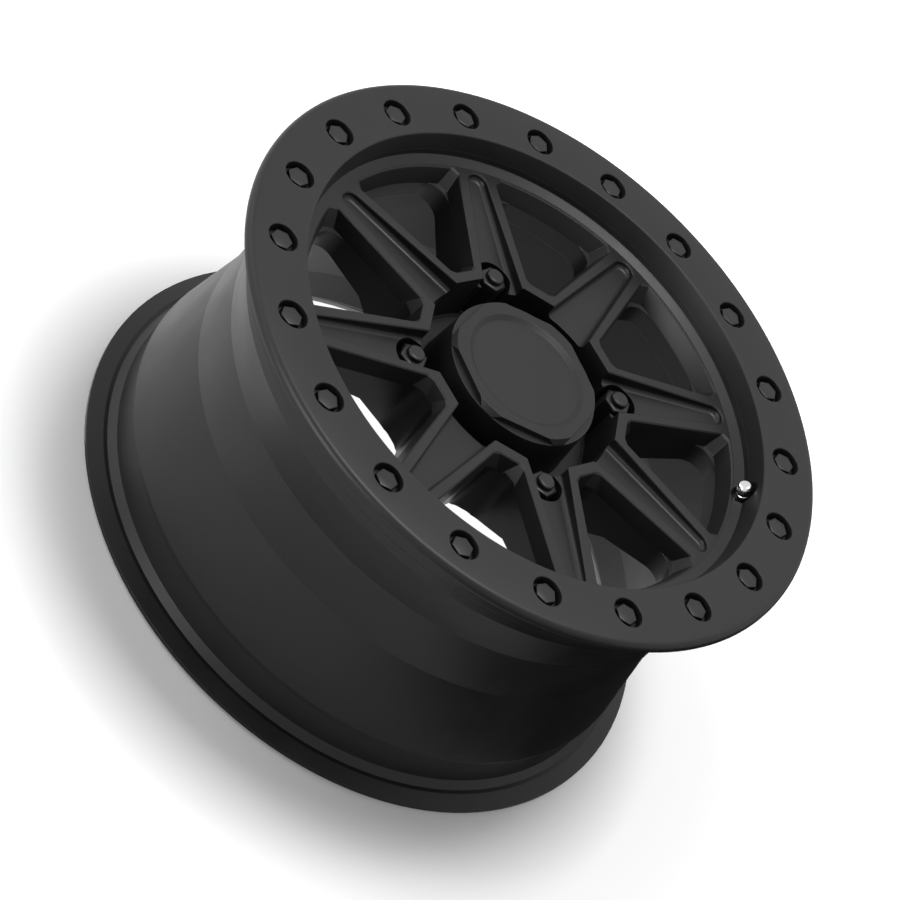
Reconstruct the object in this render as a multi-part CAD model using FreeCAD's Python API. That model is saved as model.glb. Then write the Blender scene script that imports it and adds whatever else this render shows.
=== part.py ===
"""Off-road wheel of 15 by 7 inches with a bolted outer ring, eight trough spokes and four lug pockets.

Millimetres. The wheel stands on its inboard flange with its axis on Z and its face up.
The origin is on the axis, in the plane that the inboard flange rests on.
"""

import FreeCAD, Part
import math
import os

# Rim
BEAD_SEAT_R = 190.0            # nominal 15 inch seat, at the heel of each bead
BEAD_WIDTH = 178.0             # nominal 7 inch width between the two flanges
FLANGE_THICKNESS = 7.0         # inboard flange
FLANGE_HEIGHT = 17.7           # inboard flange above the bead seat
FLANGE_EDGE = 1.6              # chamfer on the inboard flange's foot
FLANGE_SLOPE = 10.5            # sloping rim of the inboard flange, along the radius
FLANGE_SLOPE_DROP = 3.2        # and how far it falls
INNER_FLARE = 8.5              # inboard end of the barrel's inside, opened out
INNER_FLARE_LENGTH = 10.0
SEAT_LENGTH = 28.5             # inboard bead seat with its hump
SEAT_TAPER = 2.6               # fall of the inboard seat towards the hump
HUMP_RISE = 0.6                # hump above the bead seat
HUMP_RUN = 3.0                 # steep side of the hump
HUMP_WIDTH = 2.5               # crest of the hump
FRONT_SEAT_LENGTH = 14.0       # outboard bead seat
BEAD_ROOT = 4.5                # slope in the corner between the inboard seat and its flange
WELL_DROP = 10.0               # drop centre below the bead seats
WELL_LENGTH = 40.0             # cylindrical floor of the drop centre
WELL_FRONT_SLOPE = 35.0        # length of the outboard side of the well
BARREL_WALL = 6.5

# Outboard lip and bolted ring
LIP_FLANGE_THICKNESS = 9.0     # cast flange that the ring is bolted to
LIP_FLANGE_HEIGHT = 9.6        # cast flange above the bead seat
LIP_FLANGE_EDGE = 2.0          # chamfer on the cast flange's rim
RING_THICKNESS = 13.0
RING_OVERHANG = 9.2            # ring beyond the cast flange
RING_RIM = 6.2                 # ring's thickness at its rim, where its back slopes away
RING_EDGE = 4.3                # two chamfers that round off the ring's outer edge
RING_EDGE_TURN = 1.3
BOLT_INSET = 4.5               # bolt circle inside the bead seat
RING_BOLT_COUNT = 20
RING_HOLE_MARGIN = 17.0        # bolt circle to the ring's inner edge
LIP_WALL_DROP = 17.1           # inner wall of the lip, along the axis
LIP_WALL_DRAFT = 3.3           # and how far it leans in

# Ring bolts, M8 with a hex head
BOLT_R = 4.0
BOLT_HEAD_AF = 13.0
BOLT_HEAD_HEIGHT = 5.3
BOLT_HEAD_SUNK = 1.7           # top of the head below the ring's face
BOLT_GRIP = 8.0                # thread in the casting
BOLT_HOLE_CLEARANCE = 0.4
THREAD_CLEARANCE = 0.05
COUNTERBORE_CLEARANCE = 2.5    # around the corners of the head
BOLT_TIP_ROOM = 1.5            # below the end of the bolt
SHANK_SIDES = 12               # the many small round holes and shanks are prisms, which keeps the part light
COUNTERBORE_SIDES = 24

# Face
LUG_COUNT = 4
SPOKES_PER_LUG = 2
LAND_DROP = 20.0               # flat top of the spokes below the ring's face
LEDGE_WIDTH = 5.7              # sloping ledge inside the lip wall
STRIP_WIDTH = 1.7              # flat strip between the ledge and a window
SPOKE_HUB_HALF = 20.6          # half width of a spoke at the hub
SPOKE_RIM_HALF = 14.4          # and at the rim
EDGE_BREAK = 0.7               # chamfer along the top edges of windows and troughs

# Trough in each spoke
TROUGH_DEPTH = 4.5             # at the rim
TROUGH_FALL = 5.0              # floor falls this much more on its way to the hub
TROUGH_FLOOR_ROUND = 3.4
LAND_HUB = 5.5                 # flat land beside the trough at the hub
LAND_RIM = 8.0                 # and at the rim
TROUGH_END_GAP = 1.0           # trough's end to the edge of the windows

# Windows: a steep faceted mouth over a rounded through opening
MOUTH_DEPTH = 12.0
MOUTH_SIDE_INSET = 2.5
MOUTH_INNER_INSET = 3.0
MOUTH_OUTER_INSET = 4.6
FACET_TOP = 5.0                # corner facets at the rim, at the land
FACET_FOOT = 6.5               # and at the foot of the mouth
HUB_FACET_TOP = 2.5
HUB_FACET_FOOT = 7.0
OPENING_ROUND = 13.0           # corners of the opening at the rim
OPENING_HUB_ROUND = 9.0

# Hub
LUG_PCD = 156.0
LUG_TO_BORE = 12.0             # lug circle to the hub bore
BORE_TO_MOAT = 3.3             # hub bore to the flats of the moat around the cap
MOAT_ARC_GAP = 1.1             # round parts of the moat outside its flats
BRIDGE_WIDTH = 7.4             # land between the moat and a window
OFFSET_DROP = 73.0             # mounting pad below the ring's face
PAD_THICKNESS = 15.0           # pad under the moat
PAD_MARGIN = 17.0              # pad beyond the lug circle
PAD_SLOPE = 13.0               # run of the slope from the pad up to the spokes' back
SPOKE_DEPTH_HUB = 34.0         # spoke below its land, outside the hub
SPOKE_DEPTH_RIM = 25.0         # and at the rim
ROOT_DROP = 8.0                # back of the rim root, from the windows to the barrel
LUG_POCKET_R = 13.0
LUG_HOLE_R = 6.6
LUG_SEAT_R = 9.4               # mouth of the 60 degree seat

# Lug nuts, M12 with a closed end
NUT_AF = 17.0
NUT_TIP_SUNK = 24.6            # tip below the ring's face
NUT_TIP_R = 6.0
NUT_TIP_HEIGHT = 3.4
NUT_TIP_EDGE = 1.0
NUT_BORE_R = 5.4
NUT_END_WALL = 6.0
NUT_LIFT = 0.7                 # hexagon above the pocket's floor
SEAT_CLEARANCE = 0.1
NUT_NOSE_GAP = 0.3             # end of the nose above the stud hole

# Centre cap
CAP_R = 53.0
CAP_TOP_SUNK = 18.4            # plateau below the ring's face
CAP_SHOULDER = 4.0             # height of the faceted shoulder
CAP_SHOULDER_RUN = 2.2
CAP_FLAT_COUNT = 6
CAP_FLAT_INSET = 5.1           # flats inside the round edge
CAP_DISH_R = 42.0
CAP_DISH_SLOPE = 3.5
CAP_DISH_DEPTH = 2.0
CAP_WALL = 2.6
CAP_SKIRT_FLARE = 2.5
CAP_FLANGE_THICKNESS = 2.4     # flange let into the floor of the moat
CAP_FLANGE_GRIP = 1.6          # flange beyond the hub bore
CAP_SEAT_CLEARANCE = 0.3       # around the flange

# Tyre valve, set on a slant in the corner below the lip wall
VALVE_TILT = 30.0              # degrees towards the axis
VALVE_SEAT_OUT = 3.4           # seat outside the foot of the lip wall
VALVE_SEAT_SUNK = 3.0          # seat below the land
VALVE_SPOT_R = 8.0             # spot face
VALVE_HOLE_R = 4.15
VALVE_WALL = 9.0               # rim wall that the valve clamps
VALVE_POCKET_R = 10.0          # relief on the tyre side
STEM_R = 3.85
STEM_BORE_R = 2.2
STEM_OUT = 13.8                # stem beyond the spot face
STEM_HEAD_R = 7.0
STEM_HEAD_THICKNESS = 2.5
GROMMET_R = 8.0
GROMMET_THICKNESS = 4.0
WASHER_R = 5.6
WASHER_THICKNESS = 1.2
VALVE_NUT_AF = 9.0
VALVE_NUT_HEIGHT = 2.6
VALVE_CAP_R = 4.9
VALVE_CAP_LENGTH = 8.6
VALVE_CAP_WALL = 1.2
CAP_SEAL_THICKNESS = 1.0
CORE_LENGTH = 9.0
CORE_SUNK = 0.6                # core below the end of the stem
VALVE_GAP = 0.1                # between the round faces of the valve's pieces

# Heights above the floor
FACE_Z = FLANGE_THICKNESS + BEAD_WIDTH + LIP_FLANGE_THICKNESS + RING_THICKNESS
SEAT_Z = FACE_Z - RING_THICKNESS
LIP_Z = SEAT_Z - LIP_FLANGE_THICKNESS
LAND_Z = FACE_Z - LAND_DROP
LIP_FOOT_Z = FACE_Z - LIP_WALL_DROP
MOUTH_Z = LAND_Z - MOUTH_DEPTH
PAD_Z = FACE_Z - OFFSET_DROP
MOAT_Z = PAD_Z + PAD_THICKNESS

# Radii from the axis
BOLT_CIRCLE_R = BEAD_SEAT_R - BOLT_INSET
LIP_FLANGE_R = BEAD_SEAT_R + LIP_FLANGE_HEIGHT
RING_R = LIP_FLANGE_R + RING_OVERHANG
RING_INNER_R = BOLT_CIRCLE_R - RING_HOLE_MARGIN
LIP_FOOT_R = RING_INNER_R - LIP_WALL_DRAFT
LEDGE_R = LIP_FOOT_R - LEDGE_WIDTH
WINDOW_R = LEDGE_R - STRIP_WIDTH
LUG_R = LUG_PCD / 2
BORE_R = LUG_R - LUG_TO_BORE
MOAT_FLAT = BORE_R + BORE_TO_MOAT
MOAT_R = MOAT_FLAT + MOAT_ARC_GAP
WINDOW_INNER = MOAT_FLAT + BRIDGE_WIDTH
WELL_R = BEAD_SEAT_R - WELL_DROP

SPOKE_COUNT = LUG_COUNT * SPOKES_PER_LUG
SPOKE_STEP = 360.0 / SPOKE_COUNT
WINDOW_TURN = SPOKE_STEP / 2   # first window, counted from a lug spoke
VALVE_TURN = SPOKE_STEP * 1.5  # the valve stands in the second window's sector
OVERCUT = 2.0                  # cutters run this far past a face

Z_AXIS = FreeCAD.Vector(0, 0, 1)
ORIGIN = FreeCAD.Vector(0, 0, 0)


def edge_through(points):
    """Line through two points or arc through three."""
    if len(points) == 3:
        return Part.Arc(*points).toShape()
    return Part.LineSegment(*points).toShape()


def turned(profile):
    """Solid of revolution about Z from (radius, height) corners."""
    corners = [FreeCAD.Vector(radius, 0, height) for radius, height in profile]
    return Part.Face(Part.makePolygon(corners + corners[:1])).revolve(ORIGIN, Z_AXIS, 360)


def cylinder(radius, bottom, top, x=0.0, y=0.0):
    """Upright cylinder between two heights."""
    return Part.makeCylinder(radius, top - bottom, FreeCAD.Vector(x, y, bottom))


def prism(sides, across_flats, bottom, top, x=0.0):
    """Upright prism with even sides, between two heights."""
    radius = across_flats / 2 / math.cos(math.pi / sides)
    centre = FreeCAD.Vector(x, 0, 0)
    corners = [centre + polar(radius, 360.0 / sides * i, bottom) for i in range(sides)]
    return Part.Face(Part.makePolygon(corners + corners[:1])).extrude(Z_AXIS * (top - bottom))


def polar(radius, degrees, height=0.0):
    """Point at a radius and an angle about the wheel's axis."""
    angle = math.radians(degrees)
    return FreeCAD.Vector(radius * math.cos(angle), radius * math.sin(angle), height)


def spun(shape, degrees):
    """Copy of a shape turned about the wheel's axis."""
    copy = shape.copy()
    copy.rotate(ORIGIN, Z_AXIS, degrees)
    return copy


def ring_of(shape, count, start=0.0):
    """Copies of a shape in an even circle about the wheel's axis."""
    return [spun(shape, start + 360.0 / count * i) for i in range(count)]


def barrel_profile():
    """Section of the whole casting before its windows, troughs and holes are cut."""
    seat_end_z = FLANGE_THICKNESS + SEAT_LENGTH
    hump_r = BEAD_SEAT_R + HUMP_RISE
    hump_z = seat_end_z - HUMP_WIDTH
    well_top_z = LIP_Z - FRONT_SEAT_LENGTH - WELL_FRONT_SLOPE
    well_low_z = well_top_z - WELL_LENGTH
    flange_r = BEAD_SEAT_R + FLANGE_HEIGHT
    inner_r = BEAD_SEAT_R - BARREL_WALL
    well_inner_r = WELL_R - BARREL_WALL
    pad_r = LUG_R + PAD_MARGIN
    back_rim_z = LAND_Z - SPOKE_DEPTH_RIM
    tyre_side = [
        (LIP_FLANGE_R, SEAT_Z),
        (LIP_FLANGE_R, LIP_Z + LIP_FLANGE_EDGE),
        (LIP_FLANGE_R - LIP_FLANGE_EDGE, LIP_Z),
        (BEAD_SEAT_R, LIP_Z),
        (BEAD_SEAT_R, LIP_Z - FRONT_SEAT_LENGTH),
        (WELL_R, well_top_z),
        (WELL_R, well_low_z),
        (hump_r, seat_end_z),
        (hump_r, hump_z),
        (BEAD_SEAT_R - SEAT_TAPER, hump_z - HUMP_RUN),
        (BEAD_SEAT_R, FLANGE_THICKNESS + BEAD_ROOT),
        (BEAD_SEAT_R + BEAD_ROOT, FLANGE_THICKNESS),
        (flange_r - FLANGE_SLOPE, FLANGE_THICKNESS),
        (flange_r, FLANGE_THICKNESS - FLANGE_SLOPE_DROP),
        (flange_r, FLANGE_EDGE),
        (flange_r - FLANGE_EDGE, 0),
    ]
    inside = [
        (inner_r + INNER_FLARE, 0),
        (inner_r, INNER_FLARE_LENGTH),
        (inner_r, seat_end_z),
        (well_inner_r, well_low_z),
        (well_inner_r, back_rim_z - ROOT_DROP),
        (WINDOW_R, back_rim_z),
        (pad_r + PAD_SLOPE, LAND_Z - SPOKE_DEPTH_HUB),
        (pad_r, PAD_Z),
        (BORE_R, PAD_Z),
    ]
    face = [
        (BORE_R, LAND_Z),
        (LEDGE_R, LAND_Z),
        (LIP_FOOT_R, LIP_FOOT_Z),
        (lip_wall_r(SEAT_Z), SEAT_Z),
    ]
    return tyre_side + inside + face


def lip_wall_r(height):
    """Radius of the lip's leaning inner wall at a height."""
    return LIP_FOOT_R + LIP_WALL_DRAFT * (height - LIP_FOOT_Z) / LIP_WALL_DROP


def spoke_half(x):
    """Half width of a spoke's top at a distance from the axis."""
    share = (x - MOAT_R) / (WINDOW_R - MOAT_R)
    return SPOKE_HUB_HALF + (SPOKE_RIM_HALF - SPOKE_HUB_HALF) * share


def window_corners(side, inner, outer):
    """Hub and rim corner of a window on the side of the spoke along X, and the side's direction.

    side, inner and outer are how far each edge stands inside the window's edge at the land.
    """
    start = FreeCAD.Vector(MOAT_R, spoke_half(MOAT_R), 0)
    along = (FreeCAD.Vector(WINDOW_R, spoke_half(WINDOW_R), 0) - start).normalize()
    start += FreeCAD.Vector(-along.y, along.x, 0) * side
    middle = polar(1, WINDOW_TURN)
    hub = start + along * ((WINDOW_INNER + inner - start.dot(middle)) / along.dot(middle))
    reach = start.dot(along)
    miss = start.dot(start) - reach * reach
    rim = start + along * (math.sqrt((WINDOW_R - outer) ** 2 - miss) - reach)
    return hub, rim, along


def mirrored(point):
    """Point mirrored in the middle line of the first window."""
    angle = math.degrees(math.atan2(point.y, point.x))
    return polar(math.hypot(point.x, point.y), 2 * WINDOW_TURN - angle, point.z)


def outline_wire(half, outer_r, height):
    """Window outline from the lines and arcs of one side, hub end first, closed by an arc at the rim."""
    lift = FreeCAD.Vector(0, 0, height)
    near = [[point + lift for point in points] for points in half]
    far = [[mirrored(point) for point in reversed(points)] for points in reversed(near)]
    start = near[0][0]
    end = near[-1][-1]
    spans = [[mirrored(start), start]] + near
    spans += [[end, polar(outer_r, WINDOW_TURN, height), mirrored(end)]] + far
    return Part.Wire([edge_through(points) for points in spans])


def mouth_outline(share, height, grow=0.0):
    """Faceted outline of a window's mouth, from the land at share 0 to its foot at share 1."""
    outer = MOUTH_OUTER_INSET * share - grow
    side = MOUTH_SIDE_INSET * share - grow
    hub, rim, along = window_corners(side, MOUTH_INNER_INSET * share - grow, outer)
    hub_facet = HUB_FACET_TOP + (HUB_FACET_FOOT - HUB_FACET_TOP) * share
    facet = FACET_TOP + (FACET_FOOT - FACET_TOP) * share
    outer_r = WINDOW_R - outer
    across = (mirrored(hub) - hub).normalize()
    rim_turn = math.degrees(math.atan2(rim.y, rim.x) + facet / outer_r)
    hub_end = [hub + across * hub_facet, hub + along * hub_facet]
    rim_end = [rim - along * facet, polar(outer_r, rim_turn)]
    return outline_wire([hub_end, [hub_end[1], rim_end[0]], rim_end], outer_r, height)


def round_between(centre, first, second, radius):
    """Arc about a centre, from one outward direction to another."""
    middle = (first + second).normalize()
    return [centre + direction * radius for direction in (first, middle, second)]


def opening_outline(height):
    """Rounded outline of the through opening below the mouth."""
    hub, _, along = window_corners(
        MOUTH_SIDE_INSET + OPENING_HUB_ROUND, MOUTH_INNER_INSET + OPENING_HUB_ROUND, MOUTH_OUTER_INSET
    )
    _, rim, _ = window_corners(
        MOUTH_SIDE_INSET + OPENING_ROUND, MOUTH_INNER_INSET, MOUTH_OUTER_INSET + OPENING_ROUND
    )
    to_side = FreeCAD.Vector(along.y, -along.x, 0)
    to_rim = FreeCAD.Vector(rim).normalize()
    hub_arc = round_between(hub, polar(-1, WINDOW_TURN), to_side, OPENING_HUB_ROUND)
    rim_arc = round_between(rim, to_side, to_rim, OPENING_ROUND)
    half = [hub_arc, [hub_arc[-1], rim_arc[0]], rim_arc]
    return outline_wire(half, WINDOW_R - MOUTH_OUTER_INSET, height)


def prism_between(bottom, top):
    """Solid with straight sides between two like outlines."""
    return Part.makeLoft([bottom, top], True, True)


def window_cut():
    """Cutter for the first window: broken top edge, faceted mouth and rounded opening."""
    rise = OVERCUT / MOUTH_DEPTH
    mouth = prism_between(mouth_outline(1, MOUTH_Z), mouth_outline(-rise, LAND_Z + OVERCUT))
    edge = prism_between(
        mouth_outline(0, LAND_Z - EDGE_BREAK), mouth_outline(0, LAND_Z + EDGE_BREAK, 2 * EDGE_BREAK)
    )
    opening = Part.Face(opening_outline(PAD_Z - OVERCUT)).extrude(Z_AXIS * (MOUTH_Z - PAD_Z + 2 * OVERCUT))
    return mouth.fuse([edge, opening])


def trough_half(x):
    """Half width of a trough at a distance from the axis."""
    share = (x - MOAT_R) / (WINDOW_R - MOAT_R)
    return spoke_half(x) - LAND_HUB - (LAND_RIM - LAND_HUB) * share


def trough_outline(height, grow=0.0):
    """Outline of a trough in the spoke along X: tapered, round at the rim, open into the moat at the hub."""
    start = FreeCAD.Vector(BORE_R, trough_half(BORE_R) + grow, height)
    tip = WINDOW_R - TROUGH_END_GAP + grow
    taper = math.atan(trough_half(0) - trough_half(1))
    reach = (trough_half(0) + grow) * math.cos(taper)
    centre_x = (tip - reach) / (1 - math.sin(taper))
    radius = tip - centre_x
    end = FreeCAD.Vector(centre_x + radius * math.sin(taper), radius * math.cos(taper), height)
    far_start = FreeCAD.Vector(start.x, -start.y, height)
    far_end = FreeCAD.Vector(end.x, -end.y, height)
    spans = [
        (far_start, far_end),
        (far_end, FreeCAD.Vector(tip, 0, height), end),
        (end, start),
        (start, far_start),
    ]
    return Part.Wire([edge_through(span) for span in spans])


def trough_cut():
    """Cutter for the trough of the spoke along X, with a rounded floor that falls to the hub."""
    floor_z = LAND_Z - TROUGH_DEPTH
    trough = Part.Face(trough_outline(floor_z)).extrude(Z_AXIS * (TROUGH_DEPTH + TROUGH_FALL))
    floor_edges = [
        edge for edge in trough.Edges
        if edge.BoundBox.ZMax < floor_z + OVERCUT / 2 and edge.BoundBox.XMax > BORE_R + OVERCUT
    ]
    trough = trough.makeFillet(TROUGH_FLOOR_ROUND, floor_edges)
    slope = math.degrees(math.atan(TROUGH_FALL / (WINDOW_R - MOAT_R)))
    trough.rotate(FreeCAD.Vector(WINDOW_R, 0, floor_z), FreeCAD.Vector(0, 1, 0), -slope)
    edge_foot = trough_outline(LAND_Z - EDGE_BREAK)
    edge_top = trough_outline(LAND_Z + EDGE_BREAK, 2 * EDGE_BREAK)
    return trough.fuse(prism_between(edge_foot, edge_top))


def moat_cut():
    """Cutter for the moat around the cap, round at the spokes and flat at the windows, and the cap's seat."""
    corner_r = MOAT_FLAT / math.cos(math.radians(SPOKE_STEP / 2))
    corners = [polar(corner_r, SPOKE_STEP * i, MOAT_Z) for i in range(SPOKE_COUNT)]
    flats = Part.Face(Part.makePolygon(corners + corners[:1])).extrude(Z_AXIS * (LAND_Z + OVERCUT - MOAT_Z))
    seat = cylinder(cap_flange_r() + CAP_SEAT_CLEARANCE, MOAT_Z - CAP_FLANGE_THICKNESS, MOAT_Z + OVERCUT)
    return cylinder(MOAT_R, MOAT_Z, LAND_Z + OVERCUT).common(flats).fuse(seat)


def cap_flange_r():
    """Radius of the cap's flange."""
    return BORE_R + CAP_FLANGE_GRIP


def seat_depth():
    """Height of the 60 degree lug seat between its mouth and the lug hole."""
    return (LUG_SEAT_R - LUG_HOLE_R) / math.tan(math.radians(30))


def lug_cut():
    """Cutter for the lug pocket, conical seat and stud hole of the spoke along X."""
    pocket = cylinder(LUG_POCKET_R, MOAT_Z, LAND_Z + OVERCUT, LUG_R)
    hole = cylinder(LUG_HOLE_R, PAD_Z - OVERCUT, MOAT_Z + OVERCUT, LUG_R)
    seat_foot = FreeCAD.Vector(LUG_R, 0, MOAT_Z - seat_depth())
    seat = Part.makeCone(LUG_HOLE_R, LUG_SEAT_R, seat_depth(), seat_foot)
    return pocket.fuse([hole, seat])


def valve_place():
    """Placement that carries the valve's own axis to its slanted seat on the wheel."""
    tilt = FreeCAD.Rotation(FreeCAD.Vector(0, 1, 0), -VALVE_TILT)
    seat = FreeCAD.Vector(LIP_FOOT_R + VALVE_SEAT_OUT, 0, LAND_Z - VALVE_SEAT_SUNK)
    turn = FreeCAD.Placement(ORIGIN, FreeCAD.Rotation(Z_AXIS, VALVE_TURN))
    return turn.multiply(FreeCAD.Placement(seat, tilt))


def on_valve(shape):
    """Shape modelled on Z from the spot face, moved to the valve's seat."""
    moved = shape.copy()
    moved.Placement = valve_place()
    return moved


def valve_spot():
    """Cutter for the valve's spot face, which scallops the lip wall and the ring."""
    return on_valve(cylinder(VALVE_SPOT_R, 0, LAND_DROP))


def valve_cut():
    """Cutters for the valve's hole and the relief on the tyre side."""
    hole = cylinder(VALVE_HOLE_R, -VALVE_WALL - OVERCUT, OVERCUT)
    relief = cylinder(VALVE_POCKET_R, -VALVE_WALL - BEAD_WIDTH / 4, -VALVE_WALL)
    return [on_valve(hole), on_valve(relief)]


def rim_casting():
    """The one-piece casting: barrel, lip, spokes and hub."""
    body = turned(barrel_profile())
    tapped_z = SEAT_Z - BOLT_GRIP - BOLT_TIP_ROOM
    tapped = prism(SHANK_SIDES, 2 * (BOLT_R + THREAD_CLEARANCE), tapped_z, SEAT_Z + OVERCUT, BOLT_CIRCLE_R)
    cutters = [moat_cut()]
    cutters += ring_of(window_cut(), SPOKE_COUNT)
    cutters += ring_of(trough_cut(), SPOKE_COUNT)
    cutters += ring_of(lug_cut(), LUG_COUNT)
    cutters += ring_of(tapped, RING_BOLT_COUNT, WINDOW_TURN)
    cutters += valve_cut() + [valve_spot()]
    return body.cut(cutters)


def outer_ring():
    """The bolted ring with a counterbore at each bolt."""
    body = turned([
        (lip_wall_r(SEAT_Z), SEAT_Z),
        (LIP_FLANGE_R, SEAT_Z),
        (RING_R, FACE_Z - RING_RIM),
        (RING_R, FACE_Z - RING_EDGE),
        (RING_R - RING_EDGE_TURN, FACE_Z - RING_EDGE_TURN),
        (RING_R - RING_EDGE, FACE_Z),
        (RING_INNER_R, FACE_Z),
    ])
    head_z = bolt_head_z()
    hole_width = 2 * (BOLT_R + BOLT_HOLE_CLEARANCE)
    bore_width = 2 * (BOLT_HEAD_AF / math.sqrt(3) + COUNTERBORE_CLEARANCE)
    hole = prism(SHANK_SIDES, hole_width, SEAT_Z - OVERCUT, head_z + OVERCUT, BOLT_CIRCLE_R)
    bore = prism(COUNTERBORE_SIDES, bore_width, head_z, FACE_Z + OVERCUT, BOLT_CIRCLE_R)
    return body.cut(ring_of(hole.fuse(bore), RING_BOLT_COUNT, WINDOW_TURN) + [valve_spot()])


def bolt_head_z():
    """Height of the face under each bolt's head."""
    return FACE_Z - BOLT_HEAD_SUNK - BOLT_HEAD_HEIGHT


def ring_bolts():
    """The ring's bolts, as separate solids in one group."""
    head_z = bolt_head_z()
    head = prism(6, BOLT_HEAD_AF, head_z, head_z + BOLT_HEAD_HEIGHT, BOLT_CIRCLE_R)
    shank = prism(SHANK_SIDES, 2 * BOLT_R, SEAT_Z - BOLT_GRIP, head_z, BOLT_CIRCLE_R)
    bolt = head.fuse(shank)
    return Part.makeCompound(ring_of(bolt, RING_BOLT_COUNT, WINDOW_TURN))


def lug_nuts():
    """The closed lug nuts in their conical seats, as separate solids in one group."""
    tip_z = FACE_Z - NUT_TIP_SUNK
    hex_top_z = tip_z - NUT_TIP_HEIGHT
    nose_z = MOAT_Z - seat_depth() + NUT_NOSE_GAP
    wide_r = LUG_SEAT_R - SEAT_CLEARANCE
    nose_r = wide_r - (MOAT_Z - nose_z) * math.tan(math.radians(30))
    wide_z = MOAT_Z + NUT_LIFT
    nose = turned([(0, nose_z), (nose_r, nose_z), (wide_r, MOAT_Z), (NUT_AF / 2, wide_z), (0, wide_z)])
    tip = turned([
        (0, hex_top_z),
        (NUT_TIP_R, hex_top_z),
        (NUT_TIP_R, tip_z - NUT_TIP_EDGE),
        (NUT_TIP_R - NUT_TIP_EDGE, tip_z),
        (0, tip_z),
    ])
    bore = cylinder(NUT_BORE_R, nose_z - OVERCUT, tip_z - NUT_END_WALL)
    nut = nose.fuse([prism(6, NUT_AF, wide_z, hex_top_z), tip]).cut(bore)
    nut.translate(FreeCAD.Vector(LUG_R, 0, 0))
    return Part.makeCompound(ring_of(nut, LUG_COUNT))


def centre_cap():
    """The hollow cap with its flats and dish, on a flange that lies in the floor of the moat."""
    top_z = FACE_Z - CAP_TOP_SUNK
    edge_z = top_z - CAP_SHOULDER
    flange_z = MOAT_Z - CAP_FLANGE_THICKNESS
    shell = turned([
        (0, top_z - CAP_DISH_DEPTH),
        (CAP_DISH_R - CAP_DISH_SLOPE, top_z - CAP_DISH_DEPTH),
        (CAP_DISH_R, top_z),
        (CAP_R - CAP_SHOULDER_RUN, top_z),
        (CAP_R, edge_z),
        (CAP_R + CAP_SKIRT_FLARE, MOAT_Z),
        (cap_flange_r(), MOAT_Z),
        (cap_flange_r(), flange_z),
        (CAP_R - CAP_WALL, flange_z),
        (CAP_R - CAP_WALL, edge_z - CAP_WALL),
        (0, edge_z - CAP_WALL),
    ])
    flat_r = CAP_R - CAP_FLAT_INSET
    flat = Part.makeBox(CAP_R, 2 * CAP_R, CAP_SHOULDER + OVERCUT, FreeCAD.Vector(flat_r, -CAP_R, edge_z))
    return shell.cut(ring_of(flat, CAP_FLAT_COUNT, SPOKE_STEP))


def valve_stem():
    """The stem: clamped head on the tyre side and a straight shank, bored right through."""
    head_top = -VALVE_WALL - GROMMET_THICKNESS
    return on_valve(turned([
        (STEM_BORE_R, head_top - STEM_HEAD_THICKNESS),
        (STEM_HEAD_R, head_top - STEM_HEAD_THICKNESS),
        (STEM_HEAD_R, head_top),
        (STEM_R, head_top),
        (STEM_R, STEM_OUT),
        (STEM_BORE_R, STEM_OUT),
    ]))


def valve_grommet():
    """The rubber seal between the stem's head and the rim wall."""
    return on_valve(turned([
        (STEM_R + VALVE_GAP, -VALVE_WALL - GROMMET_THICKNESS),
        (GROMMET_R, -VALVE_WALL - GROMMET_THICKNESS),
        (GROMMET_R, -VALVE_WALL),
        (STEM_R + VALVE_GAP, -VALVE_WALL),
    ]))


def valve_washer():
    """The bright washer on the spot face."""
    return on_valve(turned([
        (STEM_R + VALVE_GAP, 0),
        (WASHER_R, 0),
        (WASHER_R, WASHER_THICKNESS),
        (STEM_R + VALVE_GAP, WASHER_THICKNESS),
    ]))


def valve_nut():
    """The hex nut that clamps the stem."""
    top = WASHER_THICKNESS + VALVE_NUT_HEIGHT
    nut = prism(6, VALVE_NUT_AF, WASHER_THICKNESS, top)
    return on_valve(nut.cut(cylinder(STEM_R + VALVE_GAP, 0, top + OVERCUT)))


def valve_core():
    """The core cartridge inside the stem."""
    top = STEM_OUT - CORE_SUNK
    return on_valve(cylinder(STEM_BORE_R - VALVE_GAP, top - CORE_LENGTH, top))


def valve_cap():
    """The bright screw cap over the stem's tip."""
    end = STEM_OUT + CAP_SEAL_THICKNESS + VALVE_CAP_WALL
    bore_r = STEM_R + VALVE_GAP
    return on_valve(turned([
        (bore_r, end - VALVE_CAP_LENGTH),
        (VALVE_CAP_R, end - VALVE_CAP_LENGTH),
        (VALVE_CAP_R, end),
        (0, end),
        (0, end - VALVE_CAP_WALL),
        (bore_r, end - VALVE_CAP_WALL),
    ]))


def valve_cap_seal():
    """The rubber disc between the cap and the stem."""
    return on_valve(cylinder(STEM_R - VALVE_GAP, STEM_OUT, STEM_OUT + CAP_SEAL_THICKNESS))


SUB_PARTS = {
    "rim_casting": rim_casting,
    "outer_ring": outer_ring,
    "ring_bolts": ring_bolts,
    "centre_cap": centre_cap,
    "lug_nuts": lug_nuts,
    "valve_stem": valve_stem,
    "valve_grommet": valve_grommet,
    "valve_washer": valve_washer,
    "valve_nut": valve_nut,
    "valve_core": valve_core,
    "valve_cap": valve_cap,
    "valve_cap_seal": valve_cap_seal,
}

os.makedirs("parts", exist_ok=True)
for name, build in SUB_PARTS.items():
    solid = build()
    solid.exportStep("parts/" + name + ".step")
    print(name, "solids", len(solid.Solids), "volume", round(solid.Volume), "valid", solid.isValid())
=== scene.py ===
"""Dresses the off-road wheel: finishes, a relieved hub, finer fasteners, a plain studio and the camera.

Lengths are millimetres in the wheel's classes and metres in the studio's, unless a docstring says otherwise.
The wheel lies on its inboard flange, with its axis on Z and its face up. The camera is rolled so that the
axis points up and to the right in the picture.
"""

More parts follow.
